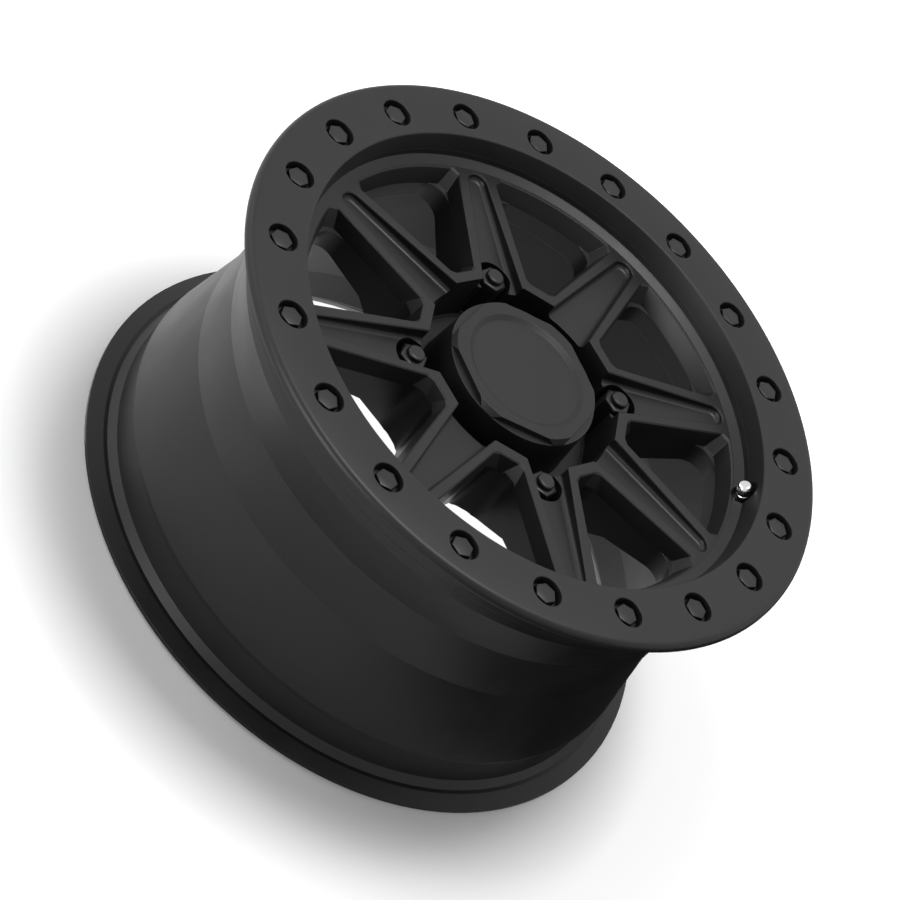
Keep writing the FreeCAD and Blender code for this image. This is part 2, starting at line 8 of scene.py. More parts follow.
import logging
import math
from dataclasses import dataclass, field
from enum import Enum
from typing import Any

import bmesh
import bpy
from mathutils import Matrix, Vector
from mathutils.kdtree import KDTree

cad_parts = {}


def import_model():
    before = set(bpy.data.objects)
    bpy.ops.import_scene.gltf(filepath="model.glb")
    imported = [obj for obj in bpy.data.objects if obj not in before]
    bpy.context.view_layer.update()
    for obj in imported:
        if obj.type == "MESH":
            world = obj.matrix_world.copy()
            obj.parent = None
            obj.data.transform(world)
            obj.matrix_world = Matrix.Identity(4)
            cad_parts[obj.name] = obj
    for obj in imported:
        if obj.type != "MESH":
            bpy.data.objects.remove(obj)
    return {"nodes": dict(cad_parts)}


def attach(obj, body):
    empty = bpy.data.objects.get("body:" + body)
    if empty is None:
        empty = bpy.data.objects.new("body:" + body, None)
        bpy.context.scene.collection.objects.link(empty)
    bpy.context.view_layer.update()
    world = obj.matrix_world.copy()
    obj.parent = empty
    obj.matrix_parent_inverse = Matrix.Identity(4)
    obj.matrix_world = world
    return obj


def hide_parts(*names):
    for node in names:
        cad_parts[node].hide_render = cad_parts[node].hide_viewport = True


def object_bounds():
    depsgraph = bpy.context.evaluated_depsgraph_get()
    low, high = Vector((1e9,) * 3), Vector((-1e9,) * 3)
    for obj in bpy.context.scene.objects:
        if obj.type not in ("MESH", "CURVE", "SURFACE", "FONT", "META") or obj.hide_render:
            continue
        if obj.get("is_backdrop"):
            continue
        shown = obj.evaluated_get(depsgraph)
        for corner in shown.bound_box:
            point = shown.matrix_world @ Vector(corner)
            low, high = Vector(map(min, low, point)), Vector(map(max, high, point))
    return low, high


LOG = logging.getLogger("wheel")
MM = 0.001
BODY = "root"

# Corners closer than this are one corner, in metres.
SAME_POINT = 1e-7

# Segments of a rounded corner and of a hexagon's rounded edge.
CORNER_STEPS = 5
HEX_EDGE_STEPS = 3

# Segments around the turned shapes, from the widest to the smallest.
RING_STEPS = 180
HUB_STEPS = 128
SPOT_STEPS = 64
LOBE_STEPS = 48
BORE_STEPS = 40
SHANK_STEPS = 16

# Noise seldom leaves this range, so the gloss is spread over it.
PATCH_LOW = 0.3
PATCH_HIGH = 0.7

# Octaves of the noise in the patches, in most grains and in a mould's even grain.
PATCH_DETAIL = 3.0
GRAIN_DETAIL = 2.0
MOULD_DETAIL = 1.0

# The wave node turns through this many radians for each unit of its scale.
WAVE_UNIT = 20
RING_WAVER = 0.4

# Samples that soften an edge in the shading.
EDGE_SAMPLES = 6


class Surface(Enum):
    """How a finish was made, which sets the pattern in its gloss."""

    COATED = "powder coat sprayed over a casting"
    TURNED = "fine rings left by a lathe"
    MOULDED = "fine spark-eroded grain of a mould"


def linear(colour: str) -> tuple[float, float, float, float]:
    """Turns an sRGB hex colour to linear light.

    Args:
        colour: Six hex digits after a hash.

    Returns:
        Red, green, blue and an alpha of one.
    """
    parts = [int(colour[i:i + 2], 16) / 255 for i in (1, 3, 5)]
    red, green, blue = (p / 12.92 if p <= 0.04045 else ((p + 0.055) / 1.055) ** 2.4 for p in parts)
    return red, green, blue, 1.0


def add_node(
    tree: bpy.types.NodeTree, kind: str, settings: dict[str, Any], links: dict[Any, Any]
) -> bpy.types.Node:
    """Adds one node with its settings, socket values and links.

    Args:
        tree: The node tree to add to.
        kind: Blender's name for the node's type.
        settings: Attributes of the node.
        links: Input names or numbers, each with an output socket to link or a value to set.

    Returns:
        The new node.
    """
    node = tree.nodes.new(kind)
    for name, value in settings.items():
        setattr(node, name, value)
    for socket, value in links.items():
        if isinstance(value, bpy.types.NodeSocket):
            tree.links.new(value, node.inputs[socket])
        else:
            node.inputs[socket].default_value = value
    return node


@dataclass(frozen=True)
class Finish:
    """One material, from what the real one is and how its surface was made."""

    name: str
    colour: str
    second: str
    roughness: float
    spread: float
    surface: Surface = Surface.COATED
    metallic: float = 0.0
    specular: float = 0.5
    grain: float = 0.9
    depth: float = 0.02
    patch: float = 38.0
    edge: float = 0.6

    def build(self) -> bpy.types.Material:
        """Makes the material.

        Returns:
            A material on Object coordinates, with patchy colour, broken gloss, grain and softened edges.
        """
        material = bpy.data.materials.new(self.name)
        material.use_nodes = True
        tree = material.node_tree
        tree.nodes.clear()
        place = add_node(tree, "ShaderNodeTexCoord", {}, {}).outputs["Object"]
        patches = add_node(
            tree,
            "ShaderNodeTexNoise",
            {},
            {"Vector": place, "Scale": 1 / (self.patch * MM), "Detail": PATCH_DETAIL},
        )
        grain = self.grain_height(tree, place)
        tint = add_node(
            tree,
            "ShaderNodeMix",
            {"data_type": "RGBA"},
            {"Factor": patches.outputs["Fac"], "A": linear(self.colour), "B": linear(self.second)},
        )
        gloss = add_node(
            tree,
            "ShaderNodeMapRange",
            {},
            {
                "Value": patches.outputs["Fac"],
                "From Min": PATCH_LOW,
                "From Max": PATCH_HIGH,
                "To Min": self.roughness - self.spread,
                "To Max": self.roughness + self.spread,
            },
        )
        soft_edge = add_node(tree, "ShaderNodeBevel", {"samples": EDGE_SAMPLES}, {"Radius": self.edge * MM})
        bump = add_node(
            tree,
            "ShaderNodeBump",
            {},
            {
                "Strength": 1.0,
                "Distance": self.depth * MM,
                "Height": grain,
                "Normal": soft_edge.outputs["Normal"],
            },
        )
        shader = add_node(
            tree,
            "ShaderNodeBsdfPrincipled",
            {},
            {
                "Base Color": tint.outputs["Result"],
                "Roughness": gloss.outputs["Result"],
                "Metallic": self.metallic,
                "Specular IOR Level": self.specular,
                "Normal": bump.outputs["Normal"],
            },
        )
        add_node(tree, "ShaderNodeOutputMaterial", {}, {"Surface": shader.outputs["BSDF"]})
        return material

    def grain_height(self, tree: bpy.types.NodeTree, place: bpy.types.NodeSocket) -> bpy.types.NodeSocket:
        """Adds the pattern that the surface was left with.

        Args:
            tree: The material's tree.
            place: The Object coordinates.

        Returns:
            The socket with the grain's height.
        """
        scale = 1 / (self.grain * MM)
        if self.surface is Surface.TURNED:
            # A lathe's real rings are about a tenth of a millimetre apart, too fine to show. They are drawn
            # coarser, some six grains apart.
            rings = add_node(
                tree,
                "ShaderNodeTexWave",
                {"wave_type": "RINGS", "rings_direction": "Z"},
                {
                    "Vector": place,
                    "Scale": scale / WAVE_UNIT,
                    "Distortion": RING_WAVER,
                    "Detail": GRAIN_DETAIL,
                },
            )
            return rings.outputs["Fac"]
        detail = MOULD_DETAIL if self.surface is Surface.MOULDED else GRAIN_DETAIL
        grit = add_node(tree, "ShaderNodeTexNoise", {}, {"Vector": place, "Scale": scale, "Detail": detail})
        return grit.outputs["Fac"]


# The real grain of zinc, nylon and rubber is under a tenth of a millimetre and wouldn't show. It is drawn
# coarser, at about half a millimetre.

# Satin powder coat hides the casting's own skin: black, with a soft wide sheen and a faint orange peel.
CAST_COAT = Finish(
    "satin_powder_coat_on_casting",
    "#161618",
    "#1b1b1d",
    roughness=0.42,
    spread=0.04,
    specular=0.25,
)

# The ring is turned before it is coated, so its coat is flatter and a little greyer.
RING_COAT = Finish(
    "satin_powder_coat_on_turned_ring",
    "#18181a",
    "#1d1d1f",
    roughness=0.46,
    spread=0.03,
    specular=0.25,
    grain=0.7,
    depth=0.012,
)

# Black zinc on steel is thin, so the fasteners keep a harder sheen than the coat around them.
BLACK_ZINC = Finish(
    "black_zinc_on_steel",
    "#161617",
    "#1d1d1f",
    roughness=0.38,
    spread=0.05,
    specular=0.3,
    grain=0.5,
    depth=0.01,
    edge=0.35,
)

# Black nylon gives the moulded cap an even, fine-grained sheen without orange peel.
CAP_NYLON = Finish(
    "grained_black_nylon",
    "#18181a",
    "#1d1d1f",
    roughness=0.44,
    spread=0.03,
    surface=Surface.MOULDED,
    specular=0.25,
    grain=0.6,
    depth=0.015,
)

# Black anodising leaves some of the metal in the sheen, so the valve's stem and nut glint at their edges.
ANODISED = Finish(
    "black_anodised_aluminium",
    "#1b1b1d",
    "#222224",
    roughness=0.34,
    spread=0.05,
    surface=Surface.TURNED,
    metallic=0.4,
    edge=0.2,
)

# Bright aluminium mirrors the studio in light and dark streaks, the one shining spot on the black wheel.
BRIGHT = Finish(
    "bright_turned_aluminium",
    "#dcdcdc",
    "#c8c8ca",
    roughness=0.2,
    spread=0.05,
    surface=Surface.TURNED,
    metallic=1.0,
    grain=0.4,
    depth=0.01,
    edge=0.25,
)

# Bright zinc is a little duller than the aluminium, a thin pale line under the valve's nut.
ZINC = Finish(
    "bright_zinc_on_steel",
    "#c9cacc",
    "#b4b5b8",
    roughness=0.26,
    spread=0.06,
    surface=Surface.TURNED,
    metallic=1.0,
    grain=0.4,
    edge=0.15,
)

# Brass gives the valve's core a warm yellow, which shows only with the cap off.
BRASS = Finish(
    "plain_brass",
    "#b08d4c",
    "#9c7b40",
    roughness=0.3,
    spread=0.06,
    surface=Surface.TURNED,
    metallic=1.0,
    grain=0.4,
    edge=0.15,
)

# Rubber is the dullest black here, without a clear highlight.
RUBBER = Finish(
    "black_valve_rubber",
    "#1a1a1a",
    "#202020",
    roughness=0.62,
    spread=0.06,
    surface=Surface.MOULDED,
    grain=0.5,
    edge=0.3,
)

# CAD nodes that stay as they are and only get a finish.
NODE_FINISHES = {
    "centre_cap": CAP_NYLON,
    "valve_stem": ANODISED,
    "valve_grommet": RUBBER,
    "valve_washer": ZINC,
    "valve_nut": ANODISED,
    "valve_core": BRASS,
    "valve_cap_seal": RUBBER,
}


class Paintshop:
    """Builds each finish once and hands it out."""

    def __init__(self) -> None:
        """Starts with no finishes made."""
        self.made: dict[str, bpy.types.Material] = {}

    def material(self, finish: Finish) -> bpy.types.Material:
        """Gives the material of a finish.

        Args:
            finish: The finish to make or to find.

        Returns:
            Its material.
        """
        if finish.name not in self.made:
            self.made[finish.name] = finish.build()
        return self.made[finish.name]

    def dress(self, piece: bpy.types.Object, finish: Finish) -> None:
        """Puts a finish into every slot of a piece.

        Args:
            piece: The object to dress.
            finish: What it gets.
        """
        material = self.material(finish)
        if not piece.material_slots:
            piece.data.materials.append(material)
        for slot in piece.material_slots:
            slot.material = material


def new_piece(name: str, shape: bmesh.types.BMesh) -> bpy.types.Object:
    """Turns a bmesh into an object in the scene and frees it.

    Args:
        name: The object's name.
        shape: Its mesh, in metres.

    Returns:
        The object.
    """
    mesh = bpy.data.meshes.new(name)
    shape.to_mesh(mesh)
    shape.free()
    piece = bpy.data.objects.new(name, mesh)
    bpy.context.scene.collection.objects.link(piece)
    return piece


def lathe(
    profile: list[tuple[float, float]], steps: int, rounds: dict[int, float] | None = None
) -> bmesh.types.BMesh:
    """Spins a closed outline about Z.

    Args:
        profile: Radius and height of each corner, in millimetres.
        steps: Segments around the axis.
        rounds: Corners by their number, each with the radius that rounds it.

    Returns:
        The closed shape.
    """
    shape = bmesh.new()
    corners = [shape.verts.new((radius * MM, 0.0, height * MM)) for radius, height in profile]
    for start, end in zip(corners, corners[1:] + corners[:1]):
        shape.edges.new((start, end))
    for corner, radius in (rounds or {}).items():
        bmesh.ops.bevel(
            shape,
            geom=[corners[corner]],
            offset=radius * MM,
            affect="VERTICES",
            segments=CORNER_STEPS,
            profile=0.5,
            material=-1,
        )
    bmesh.ops.spin(
        shape,
        geom=shape.verts[:] + shape.edges[:],
        cent=(0.0, 0.0, 0.0),
        axis=(0.0, 0.0, 1.0),
        angle=math.tau,
        steps=steps,
        use_merge=True,
    )
    return closed(shape)


def closed(shape: bmesh.types.BMesh) -> bmesh.types.BMesh:
    """Merges doubles and turns the faces outwards.

    Args:
        shape: The shape to mend.

    Returns:
        The same shape.
    """
    bmesh.ops.remove_doubles(shape, verts=shape.verts[:], dist=SAME_POINT)
    bmesh.ops.dissolve_degenerate(shape, dist=SAME_POINT, edges=shape.edges[:])
    bmesh.ops.recalc_face_normals(shape, faces=shape.faces[:])
    return shape


def hexagon(across_flats: float, bottom: float, top: float, edge: float) -> bmesh.types.BMesh:
    """Makes a six-sided prism on Z with a corner towards X and its top edges rounded off.

    Args:
        across_flats: Width between two flats, in millimetres.
        bottom: Height of its foot.
        top: Height of its top.
        edge: Width of the rounding.

    Returns:
        The prism.
    """
    shape = bmesh.new()
    radius = across_flats / math.sqrt(3) * MM
    middle = Matrix.Translation((0.0, 0.0, (bottom + top) / 2 * MM)) @ Matrix.Rotation(math.pi / 2, 4, "Z")
    bmesh.ops.create_cone(
        shape,
        cap_ends=True,
        segments=6,
        radius1=radius,
        radius2=radius,
        depth=(top - bottom) * MM,
        matrix=middle,
    )
    upper = [e for e in shape.edges if min(v.co.z for v in e.verts) > (top - edge) * MM]
    bmesh.ops.bevel(
        shape,
        geom=upper,
        offset=edge * MM,
        affect="EDGES",
        segments=HEX_EDGE_STEPS,
        profile=0.5,
        material=-1,
    )
    return closed(shape)


def joined(shapes: list[bmesh.types.BMesh]) -> bmesh.types.BMesh:
    """Puts several shapes into one bmesh and frees them.

    Args:
        shapes: What to join.

    Returns:
        A new bmesh with all of them.
    """
    whole = bmesh.new()
    for shape in shapes:
        mesh = bpy.data.meshes.new("joining")
        shape.to_mesh(mesh)
        shape.free()
        whole.from_mesh(mesh)
        bpy.data.meshes.remove(mesh)
    return whole


def carved(body: bmesh.types.BMesh, tool: bmesh.types.BMesh, operation: str) -> bmesh.types.BMesh:
    """Cuts or joins two closed shapes with Blender's Boolean.

    Args:
        body: The shape that is worked on.
        tool: The shape that works on it.
        operation: DIFFERENCE or UNION.

    Returns:
        The result, in a new bmesh.
    """
    piece = new_piece("carved_body", body)
    cutter = new_piece("carving_tool", tool)
    boolean = piece.modifiers.new("boolean", "BOOLEAN")
    boolean.operation = operation
    boolean.solver = "EXACT"
    boolean.object = cutter
    bpy.context.view_layer.update()
    result = bmesh.new()
    result.from_object(piece, bpy.context.evaluated_depsgraph_get())
    for spent in (piece, cutter):
        mesh = spent.data
        bpy.data.objects.remove(spent)
        bpy.data.meshes.remove(mesh)
    return result


def repeated(shape: bmesh.types.BMesh, count: int, start: float) -> bmesh.types.BMesh:
    """Copies a shape in an even circle about the wheel's axis.

    Args:
        shape: The first one, towards X.
        count: How many there are in all.
        start: Where the first one goes, in degrees.

    Returns:
        The same bmesh with all copies.
    """
    bmesh.ops.rotate(
        shape, verts=shape.verts[:], cent=(0.0, 0.0, 0.0), matrix=Matrix.Rotation(math.radians(start), 3, "Z")
    )
    bmesh.ops.spin(
        shape,
        geom=shape.verts[:] + shape.edges[:] + shape.faces[:],
        cent=(0.0, 0.0, 0.0),
        axis=(0.0, 0.0, 1.0),
        angle=math.tau * (count - 1) / count,
        steps=count - 1,
        use_duplicate=True,
    )
    return shape


def moved(shape: bmesh.types.BMesh, place: Matrix) -> bmesh.types.BMesh:
    """Carries a shape to its place.

    Args:
        shape: The shape to move.
        place: Where it goes, in metres.

    Returns:
        The same shape.
    """
    bmesh.ops.transform(shape, matrix=place, verts=shape.verts[:])
    return shape


def fitted(
    name: str, shape: bmesh.types.BMesh, node: str, sharp: float = 30.0
) -> bpy.types.Object:
    """Makes the piece that stands for a CAD node, smooth up to its sharp edges.

    Args:
        name: The piece's name.
        shape: Its mesh.
        node: The CAD node that it shows.
        sharp: Edges with a larger angle than this stay sharp, in degrees.

    Returns:
        The piece.
    """
    piece = new_piece(name, shape)
    piece.data.shade_smooth()
    piece.data.set_sharp_from_angle(angle=math.radians(sharp))
    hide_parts(node)
    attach(piece, BODY)
    return piece


@dataclass
class Valve:
    """The slanted valve: where its axis stands, and its bright cap."""

    turn: float = 67.5
    seat_radius: float = 168.6
    seat_height: float = 184.0
    tilt: float = 30.0
    spot_radius: float = 8.0
    spot_length: float = 30.0
    cap_radius: float = 4.9
    cap_foot: float = 7.4
    cap_end: float = 16.0
    cap_wall: float = 1.2
    bore: float = 3.95
    # Heights above the cap's foot.
    collar_end: float = 1.2
    groove: float = 1.5
    flute_foot: float = 2.0
    grip_foot: float = 2.2
    # Depths below the cap's end.
    flute_end: float = 1.6
    grip_end: float = 1.8
    nose_inset: float = 1.3
    nose_round: float = 0.8
    flutes: int = 24
    flute_depth: float = 0.3
    flute_skin: float = 0.4

    def place(self) -> Matrix:
        """Gives the valve's seat on the wheel, with Z along its axis."""
        seat = Matrix.Translation((self.seat_radius * MM, 0.0, self.seat_height * MM))
        lean = Matrix.Rotation(math.radians(-self.tilt), 4, "Y")
        return Matrix.Rotation(math.radians(self.turn), 4, "Z") @ seat @ lean

    def spot(self) -> bmesh.types.BMesh:
        """Makes the cutter for the spot face, which scallops the ring."""
        wide, high = self.spot_radius, self.spot_length
        return moved(lathe([(0.0, 0.0), (wide, 0.0), (wide, high), (0.0, high)], SPOT_STEPS), self.place())

    def cap(self) -> bmesh.types.BMesh:
        """Makes the fluted screw cap.

        Returns:
            The cap's shape in its place.
        """
        outer = self.cap_radius
        grip = outer - self.flute_depth
        profile = [
            (self.bore, self.cap_foot),
            (outer, self.cap_foot),
            (outer, self.cap_foot + self.collar_end),
            (grip, self.cap_foot + self.groove),
            (outer, self.cap_foot + self.grip_foot),
            (outer, self.cap_end - self.grip_end),
            (outer - self.nose_inset, self.cap_end),
            (0.0, self.cap_end),
            (0.0, self.cap_end - self.cap_wall),
            (self.bore, self.cap_end - self.cap_wall),
        ]
        shape = lathe(profile, self.flutes * 2, {6: self.nose_round})
        low = (self.cap_foot + self.flute_foot) * MM
        high = (self.cap_end - self.flute_end) * MM
        inside = (self.bore + self.flute_skin) * MM
        step = math.tau / (self.flutes * 2)
        for vert in shape.verts:
            if low < vert.co.z < high and vert.co.xy.length > inside:
                number = round(math.atan2(vert.co.y, vert.co.x) / step)
                if number % 2:
                    vert.co.xy *= grip / outer
        return moved(closed(shape), self.place())

    def build(self, paint: Paintshop) -> bpy.types.Object:
        """Makes the cap as a piece.

        Args:
            paint: Where its finish comes from.

        Returns:
            The cap.
        """
        piece = fitted("fluted_valve_cap", self.cap(), "valve_cap")
        paint.dress(piece, BRIGHT)
        return piece


@dataclass
class RimCasting:
    """The casting cut from its CAD solid, with the hub's back relieved between the lugs."""

    pad_radius: float = 81.0
    pad_height: float = 134.0
    slope_radius: float = 107.9
    slope_height: float = 152.9
    clear_radius: float = 112.0
    lugs: int = 4
    lug_circle: float = 78.0
    lobe_radius: float = 11.5
    overrun: float = 4.0
    sharp: float = 14.0
    same_place: float = 0.003
    same_facing: float = 0.97

    def relief(self) -> bmesh.types.BMesh:
        """Makes the cutter for the hub's back, which spares a lobe around each lug hole.

        Returns:
            The cutter, a turned ring with four bites.
        """
        low = self.pad_height - self.overrun
        ring = lathe(
            [
                (self.pad_radius, low),
                (self.pad_radius, self.pad_height),
                (self.slope_radius, self.slope_height),
                (self.clear_radius, self.slope_height),
                (self.clear_radius, low),
            ],
            HUB_STEPS,
        )
        foot = low - self.overrun
        top = self.slope_height + self.overrun
        wide = self.lobe_radius
        lobe = lathe([(0.0, foot), (wide, foot), (wide, top), (0.0, top)], LOBE_STEPS)
        lobes = repeated(moved(lobe, Matrix.Translation((self.lug_circle * MM, 0.0, 0.0))), self.lugs, 0.0)
        return carved(ring, lobes, "DIFFERENCE")

    def build(self, paint: Paintshop, node: bpy.types.Object) -> bpy.types.Object:
        """Makes the casting as a piece.

        Args:
            paint: Where its finish comes from.
            node: The CAD node that it is cut from.

        Returns:
            The casting.
        """
        shape = bmesh.new()
        shape.from_mesh(node.data)
        bmesh.ops.remove_doubles(shape, verts=shape.verts[:], dist=SAME_POINT)
        cut = carved(shape, self.relief(), "DIFFERENCE")
        piece = fitted("relieved_rim_casting", cut, "rim_casting", self.sharp)
        self.take_normals(piece, node)
        paint.dress(piece, CAST_COAT)
        return piece

    def take_normals(self, piece: bpy.types.Object, node: bpy.types.Object) -> None:
        """Shades the casting as its CAD solid is shaded.

        Args:
            piece: The casting.
            node: The CAD node with the right normals.
        """
        solid = node.data
        corners = KDTree(len(solid.loops))
        facing: list[Vector] = []
        for face in solid.polygons:
            for corner in face.loop_indices:
                corners.insert(solid.vertices[solid.loops[corner].vertex_index].co, corner)
                facing.append(face.normal)
        corners.balance()
        mesh = piece.data
        shading: list[Vector] = []
        for face in mesh.polygons:
            for corner in face.loop_indices:
                place = mesh.vertices[mesh.loops[corner].vertex_index].co
                twins = [hit[1] for hit in corners.find_range(place, self.same_place * MM)]
                alike = [twin for twin in twins if facing[twin].dot(face.normal) > self.same_facing]
                best = max(alike, key=lambda twin: facing[twin].dot(face.normal), default=None)
                shading.append(face.normal if best is None else solid.corner_normals[best].vector)
        mesh.normals_split_custom_set(shading)


@dataclass
class OuterRing:
    """The bolted ring, turned, rounded at its rim and counterbored."""

    face: float = 207.0
    back: float = 194.0
    rim_back: float = 200.8
    radius: float = 208.8
    foot_radius: float = 199.6
    inner_face: float = 168.5
    inner_back: float = 165.99
    rim_round: float = 4.3
    inner_round: float = 0.9
    back_round: float = 0.8
    bolts: int = 20
    first_bolt: float = 22.5
    bolt_circle: float = 185.5
    bore: float = 10.0
    bore_floor: float = 200.0
    bore_edge: float = 0.45
    hole: float = 4.4
    overrun: float = 3.0

    def counterbore(self) -> bmesh.types.BMesh:
        """Makes the cutter for one counterbore with its broken edge and bolt hole.

        Returns:
            The cutter on the bolt circle, towards X.
        """
        wide = self.bore + self.bore_edge
        low = self.back - self.overrun
        high = self.face + self.overrun
        cutter = lathe(
            [
                (0.0, low),
                (self.hole, low),
                (self.hole, self.bore_floor),
                (self.bore, self.bore_floor),
                (self.bore, self.face - self.bore_edge),
                (wide, self.face),
                (wide, high),
                (0.0, high),
            ],
            BORE_STEPS,
        )
        return moved(cutter, Matrix.Translation((self.bolt_circle * MM, 0.0, 0.0)))

    def build(self, paint: Paintshop, valve: Valve) -> bpy.types.Object:
        """Makes the ring as a piece.

        Args:
            paint: Where its finish comes from.
            valve: Its spot face scallops the ring.

        Returns:
            The ring.
        """
        body = lathe(
            [
                (self.inner_back, self.back),
                (self.foot_radius, self.back),
                (self.radius, self.rim_back),
                (self.radius, self.face),
                (self.inner_face, self.face),
            ],
            RING_STEPS,
            {2: self.back_round, 3: self.rim_round, 4: self.inner_round},
        )
        cutters = repeated(self.counterbore(), self.bolts, self.first_bolt)
        shape = carved(body, joined([cutters, valve.spot()]), "DIFFERENCE")
        piece = fitted("turned_outer_ring", shape, "outer_ring")
        paint.dress(piece, RING_COAT)
        return piece


@dataclass
class RingBolts:
    """The twenty hex bolts in the ring's counterbores."""

    count: int = 20
    first: float = 22.5
    circle: float = 185.5
    across_flats: float = 13.0
    head_foot: float = 200.0
    head_top: float = 205.3
    edge: float = 0.7
    shank: float = 4.0
    tip: float = 186.0
    tip_round: float = 0.8
    sharp: float = 40.0

    def build(self, paint: Paintshop) -> bpy.types.Object:
        """Makes the bolts as one piece.

        Args:
            paint: Where their finish comes from.

        Returns:
            The bolts.
        """
        head = hexagon(self.across_flats, self.head_foot, self.head_top, self.edge)
        shank = lathe(
            [
                (0.0, self.tip),
                (self.shank, self.tip),
                (self.shank, self.head_foot),
                (0.0, self.head_foot),
            ],
            SHANK_STEPS,
            {1: self.tip_round},
        )
        bolt = moved(joined([head, shank]), Matrix.Translation((self.circle * MM, 0.0, 0.0)))
        bolts = repeated(bolt, self.count, self.first)
        piece = fitted("hex_ring_bolts", bolts, "ring_bolts", self.sharp)
        paint.dress(piece, BLACK_ZINC)
        return piece


@dataclass
class LugNuts:
    """The four closed lug nuts in their pockets."""

    count: int = 4
    circle: float = 78.0
    across_flats: float = 17.0
    hex_foot: float = 149.7
    hex_top: float = 179.0
    edge: float = 1.3
    nose_end: float = 144.45
    nose_radius: float = 6.68
    seat_height: float = 149.0
    seat_radius: float = 9.3
    tip_radius: float = 6.0
    tip: float = 182.4
    tip_round: float = 1.5
    tip_root: float = 3.0
    hex_inset: float = 0.1
    bore: float = 5.4
    bore_end: float = 176.4
    drill_point: float = 2.5
    overrun: float = 4.0
    sharp: float = 35.0

    def build(self, paint: Paintshop) -> bpy.types.Object:
        """Makes the nuts as one piece.

        Args:
            paint: Where their finish comes from.

        Returns:
            The nuts.
        """
        core = lathe(
            [
                (0.0, self.nose_end),
                (self.nose_radius, self.nose_end),
                (self.seat_radius, self.seat_height),
                (self.across_flats / 2 - self.hex_inset, self.hex_foot + self.hex_inset),
                (self.tip_radius, self.hex_top - self.tip_root),
                (self.tip_radius, self.tip),
                (0.0, self.tip),
            ],
            BORE_STEPS,
            {5: self.tip_round},
        )
        prism = hexagon(self.across_flats, self.hex_foot, self.hex_top, self.edge)
        body = carved(prism, core, "UNION")
        foot = self.nose_end - self.overrun
        bore = lathe(
            [
                (0.0, foot),
                (self.bore, foot),
                (self.bore, self.bore_end),
                (0.0, self.bore_end + self.drill_point),
            ],
            BORE_STEPS,
        )
        nut = moved(carved(body, bore, "DIFFERENCE"), Matrix.Translation((self.circle * MM, 0.0, 0.0)))
        nuts = repeated(nut, self.count, 0.0)
        piece = fitted("closed_lug_nuts", nuts, "lug_nuts", self.sharp)
        paint.dress(piece, BLACK_ZINC)
        return piece


@dataclass
class Lamp:
    """One soft box, placed by its direction from the wheel's middle, in degrees, metres and watts."""

    name: str
    azimuth: float
    elevation: float
    distance: float
    width: float
    height: float
    power: float
    gloss_only: bool = False

    def build(self, target: Vector) -> bpy.types.Object:
        """Makes the soft box and aims it.

        Args:
            target: The point it faces, in metres.

        Returns:
            The lamp's object.
        """
        data = bpy.data.lights.new(self.name, "AREA")
        data.shape = "RECTANGLE"
        data.size = self.width
        data.size_y = self.height
        data.energy = self.power
        lamp = bpy.data.objects.new(self.name, data)
        bpy.context.scene.collection.objects.link(lamp)
        turn = math.radians(self.azimuth)
        rise = math.radians(self.elevation)
        away = Vector((math.cos(turn) * math.cos(rise), math.sin(turn) * math.cos(rise), math.sin(rise)))
        lamp.location = target + away * self.distance
        lamp.rotation_mode = "QUATERNION"
        lamp.rotation_quaternion = away.to_track_quat("Z", "Y")
        lamp.visible_diffuse = not self.gloss_only
        return lamp


def stage_card(name: str, shape: bmesh.types.BMesh, light: float) -> bpy.types.Object:
    """Makes a card that gives off an even light, or none.

    Args:
        name: The card's name.
        shape: Its mesh.
        light: Strength of its light, where one is white.

    Returns:
        The card, marked as stage.
    """
    card = new_piece(name, shape)
    material = bpy.data.materials.new(name)
    material.use_nodes = True
    tree = material.node_tree
    tree.nodes.clear()
    glow = add_node(tree, "ShaderNodeEmission", {}, {"Strength": light})
    add_node(tree, "ShaderNodeOutputMaterial", {}, {"Surface": glow.outputs["Emission"]})
    card.data.materials.append(material)
    card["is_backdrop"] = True
    return card


@dataclass
class Card:
    """A black or white card on the floor beside the wheel, which only the coat's gloss sees."""

    # Each card only paints a reflection into the gloss: the black one a dark reflection, the white one a
    # bright reflection.
    name: str
    azimuth: float
    gap: float
    light: float
    size: float = 3.0

    def build(self) -> bpy.types.Object:
        """Lays the card just above the floor.

        Returns:
            The card, marked as stage.
        """
        sheet = bmesh.new()
        away = Matrix.Translation((self.gap + self.size / 2, 0.0, MM))
        turn = Matrix.Rotation(math.radians(self.azimuth), 4, "Z")
        bmesh.ops.create_grid(sheet, x_segments=2, y_segments=2, size=self.size / 2, matrix=turn @ away)
        card = stage_card(self.name, sheet, self.light)
        # Only glossy rays see the card, so it shows only as a painted reflection.
        card.visible_camera = False
        card.visible_diffuse = False
        card.visible_shadow = False
        return card


